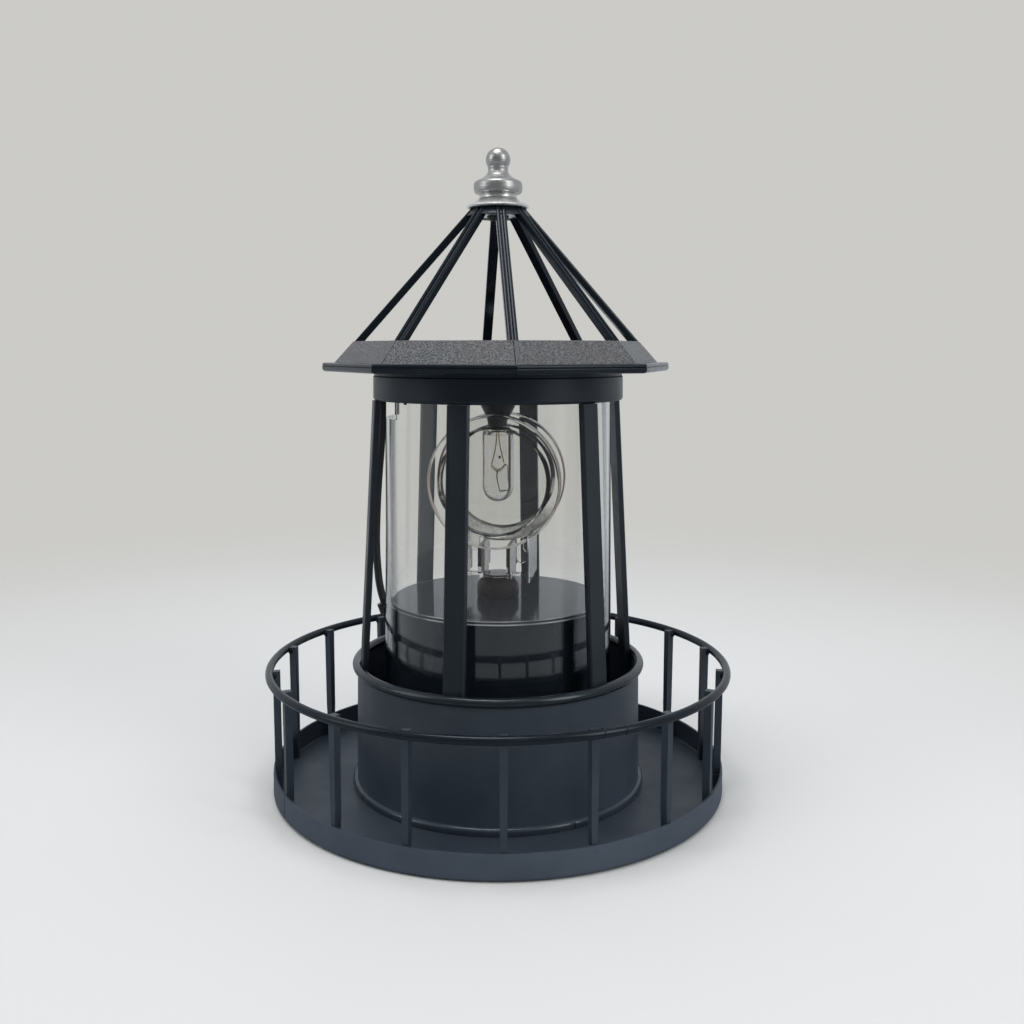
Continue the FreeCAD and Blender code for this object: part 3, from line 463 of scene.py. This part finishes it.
# photovoltaic strips: deep blue with fine grid fingers
m = Mat("solar_cell", Specular_IOR_Level=0.6, Coat_Weight=0.4, Coat_Roughness=0.05)
o = m.xyz()
finger = m.math("PINGPONG", m.math("ADD", o[1], 0.05), 0.0009)
line = m.remap(finger, 0.00000, 0.00008, 1.0, 0.0)
flake = m.voronoi(420.0)
blue = m.mix(m.remap(flake, 0.0, 0.7, 0.0, 1.0), (0.006, 0.010, 0.034), (0.016, 0.026, 0.075))
m.colour(m.mix(line, blue, (0.30, 0.31, 0.33)))
m.rough(m.remap(m.noise(60.0), 0.3, 0.7, 0.12, 0.24))
M["cell"] = m.m

# battery wrap: green sleeve, silver ends
m = Mat("battery_wrap", Specular_IOR_Level=0.5)
xx = m.xyz()[0]
band = m.remap(xx, -0.0060, -0.0056, 0.0, 1.0)
c = m.mix(band, (0.03, 0.16, 0.07), (0.55, 0.57, 0.55))
end = m.remap(xx, 0.0228, 0.0230, 0.0, 1.0)
c = m.mix(end, c, (0.50, 0.50, 0.51))
m.colour(m.mix(m.remap(m.noise(220.0, 2.0), 0.3, 0.7, 0.0, 0.25), c, (0.08, 0.09, 0.085)))
m.rough(m.remap(m.noise(90.0), 0.3, 0.7, 0.18, 0.32))
M["battery"] = m.m

# circuit board: green mask with copper lanes, darker parts above it
m = Mat("circuit_board", Specular_IOR_Level=0.5)
o = m.xyz()
br = m.node("ShaderNodeTexBrick")
br.offset = 0.37
br.inputs["Scale"].default_value = 300.0
br.inputs["Mortar Size"].default_value = 0.012
br.inputs["Color1"].default_value = (0.012, 0.085, 0.030, 1)
br.inputs["Color2"].default_value = (0.016, 0.105, 0.038, 1)
br.inputs["Mortar"].default_value = (0.035, 0.200, 0.075, 1)
m.link(m.coord.outputs["Object"], br.inputs["Vector"])
up = m.remap(o[2], 0.00745, 0.0075, 0.0, 1.0)
m.colour(m.mix(up, br.outputs["Color"], (0.020, 0.021, 0.024)))
m.rough(m.remap(m.noise(400.0), 0.3, 0.7, 0.25, 0.42))
M["board"] = m.m

assign = {
    "tray_pan": "paint_floor", "railing_bars": "paint_bars", "railing_ring": "paint_ring", "drum_shell": "paint_drum",
    "drum_foot_ring": "paint_foot", "lantern_collar": "paint_collar", "roof_seat_ring": "paint", "roof_eave_rim": "paint_ring",
    "roof_band": "pebbled", "roof_apex_plate": "paint", "finial": "silver", "finial_washer": "silver",
    "finial_screw": "dark_steel", "clear_tube": "tube", "lens_carrier": "lens",
    "front_lens": "lens", "rear_lens": "lens", "bulb_glass": "bulb", "bulb_filament": "steel", "bulb_socket": "socket",
    "socket_plate": "matte", "lamp_cap": "matte", "cap_screws": "steel", "solar_panel": "panel",
    "power_cable": "rubber", "cable_grommet": "rubber", "motor_housing": "can", "housing_base": "matte",
    "base_screws": "steel", "battery": "battery", "battery_contacts": "steel", "control_board": "board",
    "switch_body": "matte", "switch_slider": "nylon", "gear_plate": "nylon", "idler_pin": "steel", "motor": "steel",
    "motor_pinion": "nylon", "idler_gear": "nylon", "output_gear": "nylon", "rotor_hub": "hub",
}
for i in range(1, 7):
    assign["lantern_post_%d" % i] = "paint"
for i in range(1, 9):
    assign["roof_rib_%d" % i] = "paint_ring"
for name, key in assign.items():
    ob = N[name]
    ob.data.materials.clear()
    ob.data.materials.append(M[key])
for name in ("clear_tube", "lens_carrier", "front_lens", "rear_lens", "bulb_glass"):
    N[name].visible_shadow = False


# ------------------------------------------------------------------ mesh helpers
def pol(r, bearing, z):
    a = radians(bearing)
    return Vector((r * sin(a), -r * cos(a), z)) * MM


def make(name, verts, faces, mat, body, smooth=True):
    me = bpy.data.meshes.new(name)
    me.from_pydata([tuple(v) for v in verts], [], faces)
    me.validate()
    me.materials.append(M[mat])
    if smooth:
        me.shade_smooth()
    ob = bpy.data.objects.new(name, me)
    scene.collection.objects.link(ob)
    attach(ob, body)
    return ob


def rounded(points, steps=6):
    """Catmull-Rom line through the points."""
    pts = [Vector(p) for p in points]
    out = []
    for i in range(len(pts) - 1):
        p0, p1, p2, p3 = pts[max(i - 1, 0)], pts[i], pts[i + 1], pts[min(i + 2, len(pts) - 1)]
        for k in range(steps):
            t = k / steps
            out.append(0.5 * ((2 * p1) + (p2 - p0) * t + (2 * p0 - 5 * p1 + 4 * p2 - p3) * t * t
                              + (3 * p1 - p0 - 3 * p2 + p3) * t ** 3))
    out.append(pts[-1])
    return out


def sweep(points, radius, sides=10, taper=None):
    """Round wire along a line of points, closed at both ends."""
    verts, faces = [], []
    n = len(points)
    up = Vector((0.13, 0.97, 0.21)).normalized()
    for i, p in enumerate(points):
        d = (points[min(i + 1, n - 1)] - points[max(i - 1, 0)]).normalized()
        u = (up - d * up.dot(d)).normalized()
        up = u
        w = d.cross(u)
        r = radius * (taper[i] if taper else 1.0)
        for k in range(sides):
            a = 2 * pi * k / sides
            verts.append(p + (u * cos(a) + w * sin(a)) * r)
    for i in range(n - 1):
        for k in range(sides):
            k2 = (k + 1) % sides
            faces.append((i * sides + k, i * sides + k2, (i + 1) * sides + k2, (i + 1) * sides + k))
    faces.append(tuple(reversed(range(sides))))
    faces.append(tuple((n - 1) * sides + k for k in range(sides)))
    return verts, faces


def join(parts):
    """Several (verts, faces) lists as one."""
    verts, faces = [], []
    for v, f in parts:
        b = len(verts)
        verts += list(v)
        faces += [tuple(i + b for i in q) for q in f]
    return verts, faces


def blob(centre, ax, ay, az, sx, sy, sz, seed, lump=0.16, rings=7, sides=12):
    """Uneven weld or glue bead: a squashed ball with soft lumps."""
    rnd = random.Random(seed)
    ph = [rnd.uniform(0, 6.28) for _ in range(6)]
    verts, faces = [centre + az * sz], []
    for i in range(1, rings):
        t = pi * i / rings
        for k in range(sides):
            a = 2 * pi * k / sides
            g = 1 + lump * (0.5 * sin(2 * a + ph[0]) * sin(t + ph[1]) + 0.3 * sin(3 * a + ph[2]) + 0.3 * cos(2 * t + ph[3]) * sin(a + ph[4]))
            verts.append(centre + ax * (sx * sin(t) * cos(a) * g) + ay * (sy * sin(t) * sin(a) * g) + az * (sz * cos(t) * g))
    verts.append(centre - az * sz)
    for k in range(sides):
        k2 = (k + 1) % sides
        faces.append((0, 1 + k, 1 + k2))
        last = 1 + (rings - 2) * sides
        faces.append((len(verts) - 1, last + k2, last + k))
        for i in range(rings - 2):
            b = 1 + i * sides
            faces.append((b + k, b + sides + k, b + sides + k2, b + k2))
    return verts, faces


def axes(bearing):
    """Outward, along and up directions at a bearing."""
    a = radians(bearing)
    out = Vector((sin(a), -cos(a), 0))
    return out, Vector((cos(a), sin(a), 0)), Vector((0, 0, 1))


def plate(x0, x1, y0, y1, z0, z1, c):
    """Flat plate with chamfered top edges, mm."""
    v = []
    for z, k in ((z0, 0.0), (z1 - c, 0.0), (z1, c)):
        v += [Vector((x0 + k, y0 + k, z)) * MM, Vector((x1 - k, y0 + k, z)) * MM,
              Vector((x1 - k, y1 - k, z)) * MM, Vector((x0 + k, y1 - k, z)) * MM]
    f = [(3, 2, 1, 0), (8, 9, 10, 11)]
    for b in (0, 4):
        for k in range(4):
            k2 = (k + 1) % 4
            f.append((b + k, b + k2, b + 4 + k2, b + 4 + k))
    return v, f


# ------------------------------------------------------------------ railing details
BARS = [1.2, 21.2, 41.8, 62.0, 79.5, 100.4, 120.1, 140.0, 160.0,
        180.0, 199.5, 218.5, 238.9, 258.2, 281.0, 298.4, 320.2, 339.8]
beads = []
for i, th in enumerate(BARS):
    out, along, up = axes(th)
    rnd = random.Random(40 + i)
    for side in (-1, 1):
        beads.append(blob(pol(72.25, th, 37.15) + along * side * (1.15 + 0.1 * rnd.random()) * MM, out, along, up,
                          0.75 * MM, 0.42 * MM, (0.75 + 0.3 * rnd.random()) * MM, 100 + 2 * i + side))
    beads.append(blob(pol(71.25, th, 1.0), out, along, up, 0.75 * MM, 1.25 * MM, 0.42 * MM, 300 + i))
v, f = join(beads)
make("railing_weld_beads", v, f, "paint_ring", "frame")

sleeves = []
for th in (22.5, 27.7, 204.0, 209.4):
    rows = []
    for da, r in ((-0.17, 1.24), (-0.12, 1.36), (0.12, 1.37), (0.17, 1.24)):
        out, along, up = axes(th + da)
        c = pol(73.75, th + da, 37.95)
        rows.append([c + (out * cos(2 * pi * k / 24) + up * sin(2 * pi * k / 24)) * r * MM for k in range(24)])
    v = [p for row in rows for p in row]
    f = []
    for i in range(4):
        for k in range(24):
            a_, b_ = i * 24, ((i + 1) % 4) * 24
            f.append((a_ + k, a_ + (k + 1) % 24, b_ + (k + 1) % 24, b_ + k))
    sleeves.append((v, f))
v, f = join(sleeves)
make("rail_joint_seams", v, f, "paint_ring", "frame")

# lap joint of the tray wall and the small round spot welds under the bars
spots = []
out, along, up = axes(-61.5)
pts = [pol(72.33, -61.5, z) + along * 0.06 * sin(z * 2.1) * MM for z in (0.9, 1.8, 2.8, 3.8, 4.8, 5.8, 6.8, 7.45)]
spots.append(sweep(pts, 0.17 * MM, 8, [0.5, 0.9, 1.1, 0.9, 1.1, 0.9, 1.0, 0.6]))
for i, th in enumerate(BARS):
    out, along, up = axes(th)
    c = pol(72.28, th, 5.9)
    pts = [c + (along * cos(2 * pi * k / 16) * 0.62 + up * sin(2 * pi * k / 16) * 0.62) * MM for k in range(17)]
    spots.append(sweep(pts, 0.13 * MM, 6))
v, f = join(spots)
make("tray_wall_welds", v, f, "paint_floor", "frame")

# lap seam down the back of the drum
out, along, up = axes(172.0)
rows = []
for z in (3.2, 10.0, 20.0, 30.0, 36.9):
    for u, d in ((-1.6, 0.02), (-1.5, 0.26), (1.5, 0.26), (1.7, 0.02)):
        th = 172.0 + u / 45.8 * 57.2958
        rows.append(pol(45.8 + d, th, z))
f = []
for i in range(4):
    for k in range(3):
        f.append((i * 4 + k, i * 4 + k + 1, i * 4 + 5 + k, i * 4 + 4 + k))
inner = [pol(45.55, 172.0 + u / 45.8 * 57.2958, z) for z in (3.2, 10.0, 20.0, 30.0, 36.9) for u in (-1.6, 1.7)]
b = len(rows)
rows += inner
for i in range(4):
    f.append((b + 2 * i, b + 2 * i + 2, b + 2 * i + 3, b + 2 * i + 1))
    f.append((i * 4, i * 4 + 4, b + 2 * i + 2, b + 2 * i))
    f.append((i * 4 + 3, b + 2 * i + 1, b + 2 * i + 3, i * 4 + 7))
f.append((0, b, b + 1, 3, 2, 1))
f.append((16, 17, 18, 19, b + 9, b + 8))
make("drum_lap_seam", rows, f, "paint_drum", "frame", smooth=False)

# ------------------------------------------------------------------ lamp unit details
out, along, up = axes(-44.5)
v, f = blob(pol(40.1, -44.5, 124.0), out, along, up, 0.5 * MM, 0.7 * MM, 0.45 * MM, 11)
make("collar_weld_nub", v, f, "paint", "frame")

v, f = blob(Vector((8.5, 0.1, 59.42)) * MM, Vector((1, 0, 0)), Vector((0, 1, 0)), Vector((0, 0, 1)), 0.6 * MM, 0.55 * MM, 0.32 * MM, 5, 0.08)
make("housing_gate_pip", v, f, "matte", "frame")

out, along, up = axes(-93.0)
glue = []
for i, (r, dz, da, s_) in enumerate(((37.3, 54.0, 1.5, 1.0), (37.1, 56.6, -2.0, 0.85), (37.4, 52.6, -1.0, 0.7), (37.2, 55.4, 3.6, 0.6))):
    glue.append(blob(pol(r, -93.0 + da, dz), out, along, up, 0.9 * MM * s_, 1.6 * MM * s_, 1.9 * MM * s_, 60 + i, 0.22, 8, 14))
v, f = join(glue)
make("cable_entry_sealant", v, f, "matte", "frame")


def px(x, y):
    """Point in the plane of the lamp's axis, mm."""
    return Vector(((x - 497.6) * 0.3294, 0.0, 140.6 - (y - 348.4) * 0.3294)) * MM


wires = []
lead_l = rounded([px(496.4, 430.5), px(496.3, 438.0), px(494.8, 449.0), px(492.6, 459.0), px(491.6, 462.5)])
lead_r = rounded([px(498.6, 430.5), px(498.8, 438.0), px(500.6, 449.0), px(502.8, 458.0), px(503.6, 461.5)])
wires.append(sweep(lead_l, 0.19 * MM))
wires.append(sweep(lead_r, 0.19 * MM))
coil = []
turns, steps = 9, 14
for i in range(turns * steps + 1):
    t = i / (turns * steps)
    c = px(490.4 + 14.6 * t, 463.4 + 6.2 * sin(pi * t))
    a = 2 * pi * i / steps
    coil.append(c + Vector((0.10 * sin(a) * 0.6, 0.52 * cos(a), 0.62 * sin(a))) * MM)
wires.append(sweep(coil, 0.10 * MM, 6))
v, f = join(wires)
fil = make("bulb_filament_gold", v, f, "brass", "frame")
wires = []
wires.append(sweep(rounded([px(497.5, 469.5), px(496.6, 475.0), px(497.2, 480.0), px(499.4, 489.2), px(500.4, 490.2), px(507.4, 489.0),
                            px(508.6, 488.0), px(509.2, 483.6)], 5), 0.17 * MM, 8))
wires.append(sweep(rounded([px(505.0, 463.2), px(507.2, 466.0), px(507.6, 474.0), px(507.9, 480.5), px(509.2, 483.6)], 5), 0.13 * MM, 8))
wires.append(blob(px(499.4, 456.4), Vector((1, 0, 0)), Vector((0, 1, 0)), Vector((0, 0, 1)), 0.42 * MM, 0.42 * MM, 0.5 * MM, 8, 0.1))
v, f = join(wires)
fil2 = make("bulb_filament_support", v, f, "dark_steel", "frame")
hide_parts("bulb_filament")

# ------------------------------------------------------------------ solar panel
cells = [plate(-21.6 + 8.68 * i, -21.6 + 8.68 * i + 8.44, -21.4, 21.4, 131.28, 131.42, 0.03) for i in range(5)]
v, f = join(cells)
make("solar_cell_strips", v, f, "cell", "frame", smooth=False)
bus = []
for i in range(5):
    xm = -21.6 + 8.68 * i + 4.22
    for dx in (-2.0, 2.0):
        bus.append(plate(xm + dx - 0.3, xm + dx + 0.3, -21.2, 21.2, 131.40, 131.50, 0.04))
for y in (-22.1, 21.7):
    bus.append(plate(-20.5, 20.5, y, y + 0.4, 131.28, 131.44, 0.04))
v, f = join(bus)
make("solar_cell_busbars", v, f, "steel", "frame", smooth=False)

# ------------------------------------------------------------------ softened edges
for name, width, segs in (("motor_housing", 0.34, 3), ("rotor_hub", 0.22, 2), ("railing_bars", 0.22, 2), ("lamp_cap", 0.20, 2),
                          ("roof_eave_rim", 0.16, 2), ("roof_apex_plate", 0.20, 2), ("cap_screws", 0.10, 2), ("drum_foot_ring", 0.1, 2)):
    ob = N[name]
    w = ob.modifiers.new("merge", "WELD")
    w.merge_threshold = 0.000002
    b = ob.modifiers.new("soft_edges", "BEVEL")
    b.width = width * MM
    b.segments = segs
    b.limit_method = "ANGLE"
    b.angle_limit = radians(32)
    b.harden_normals = False
for i in range(1, 7):
    ob = N["lantern_post_%d" % i]
    w = ob.modifiers.new("merge", "WELD")
    w.merge_threshold = 0.000002
    b = ob.modifiers.new("soft_edges", "BEVEL")
    b.width = 0.22 * MM
    b.segments = 2
    b.limit_method = "ANGLE"
    b.angle_limit = radians(32)

# ------------------------------------------------------------------ floor
fm = Mat("floor_pale", Roughness=0.75)
lp = fm.node("ShaderNodeLightPath")
pale = fm.mix(fm.noise(9.0, 3.0), (0.80, 0.80, 0.79), (0.83, 0.83, 0.82))
straight = fm.math("LESS_THAN", fm.math("ADD", lp.outputs["Glossy Depth"], lp.outputs["Diffuse Depth"]), 0.5)
seen = fm.math("MAXIMUM", lp.outputs["Is Camera Ray"], fm.math("MULTIPLY", lp.outputs["Is Transmission Ray"], straight))
mirrored = fm.math("GREATER_THAN", lp.outputs["Glossy Depth"], 0.5)
bounced = fm.mix(mirrored, (0.84, 0.85, 0.86), (0.320, 0.330, 0.350))
fm.colour(fm.mix(seen, bounced, pale))
vl = fm.node("ShaderNodeVectorMath", operation="LENGTH")
fm.link(fm.coord.outputs["Object"], vl.inputs[0])
fade = fm.remap(vl.outputs["Value"], 0.12, 0.60, 1.0, 0.0, True)
fm.link(fade, fm.p.inputs["Alpha"])
bpy.ops.mesh.primitive_circle_add(vertices=96, radius=0.64, fill_type="NGON", location=(0, 0, -0.0002))
floor = bpy.context.object
floor.name = "floor"
floor.data.materials.append(fm.m)
